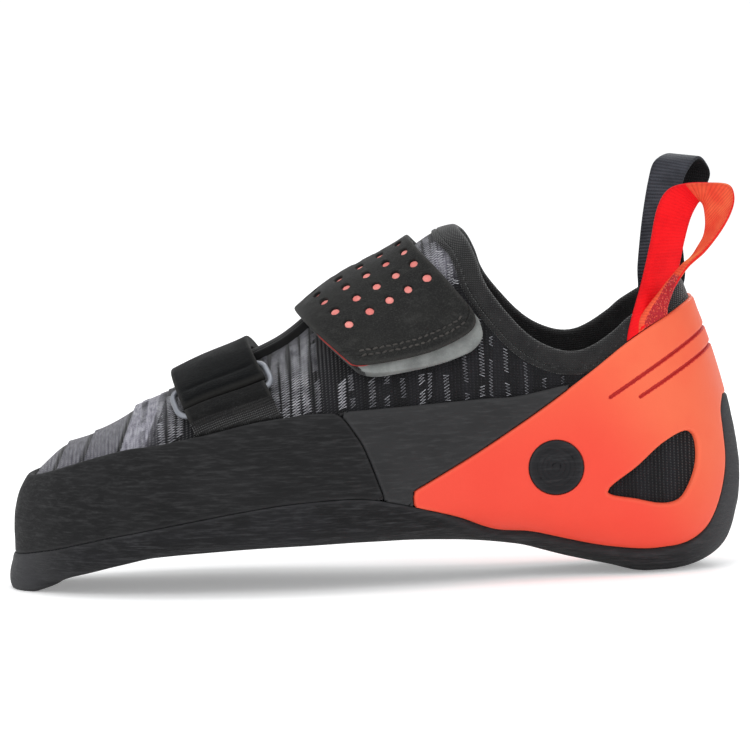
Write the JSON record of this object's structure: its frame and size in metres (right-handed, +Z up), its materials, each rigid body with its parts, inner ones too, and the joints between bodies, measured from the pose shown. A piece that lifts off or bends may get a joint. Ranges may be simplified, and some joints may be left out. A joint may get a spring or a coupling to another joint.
{
  "type": "climbing shoe",
  "caption": "Left climbing shoe with a knitted slipper upper, rubber toe and heel rands, a downturned wrap-up sole, a perforated strap, a ringed front strap and two heel pull loops",
  "frame": {"origin": "middle of the bounding box, on the floor under the sole", "axes": "+X from toe to heel, +Y towards the inner side of the foot, +Z up"},
  "size_m": [0.2514, 0.0894, 0.1404],
  "materials": {
    "outsole": "matt, sanded",
    "insole": "matt lining",
    "upper": "knitted, with light grey columns of stitches",
    "collar_binding": "soft folded edge",
    "toe_rand": "matt, moulded",
    "side_panel_outer": "matt, smooth",
    "side_panel_inner": "matt, smooth",
    "heel_rand": "satin coral",
    "grip_dot": "matt, ringed",
    "strap_pad": "satin grey edge",
    "main_strap": "suede-like, perforated",
    "front_strap": "smooth",
    "ring": "gloss black wire",
    "ring_keeper": "folded",
    "instep_webbing": "woven",
    "pull_loop_outer": "woven red tape",
    "pull_loop_inner": "woven dark grey tape"
  },
  "bodies": {
    "root": {"outsole": "outsole", "insole": "insole", "upper": "upper", "collar_binding": "collar_binding", "toe_rand": "toe_rand", "side_panel_outer": "side_panel_outer", "side_panel_inner": "side_panel_inner", "heel_rand": "heel_rand", "grip_dot": "grip_dot", "strap_pad": "strap_pad", "main_strap": "main_strap", "front_strap": "front_strap", "ring": "ring", "ring_keeper": "ring_keeper", "instep_webbing": "instep_webbing", "pull_loop_outer": "pull_loop_outer", "pull_loop_inner": "pull_loop_inner"}
  },
  "joints": []
}
